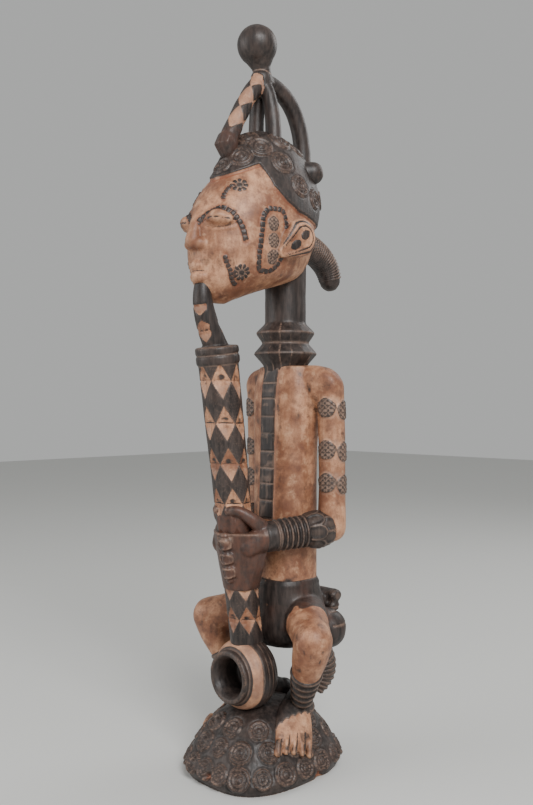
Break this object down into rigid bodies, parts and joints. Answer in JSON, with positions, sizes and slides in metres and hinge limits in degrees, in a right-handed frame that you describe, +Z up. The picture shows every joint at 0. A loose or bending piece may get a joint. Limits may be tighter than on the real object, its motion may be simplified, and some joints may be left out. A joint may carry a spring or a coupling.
{
  "type": "shrine figure",
  "caption": "Carved wooden shrine figure of a squatting pipe smoker on a round mound, for standing on a shelf or altar.",
  "frame": {"origin": "middle of the mound's flat underside", "axes": "+Z up along the figure, -Y is the way the face and the pipe look, +X is the figure's left"},
  "size_m": [0.2524, 0.2854, 0.9999],
  "materials": {
    "carved_wood": "hand-carved wood, pale tan skin areas with brown-black stained carving, dull satin"
  },
  "bodies": {
    "root": {"figure": "carved_wood"}
  },
  "joints": []
}
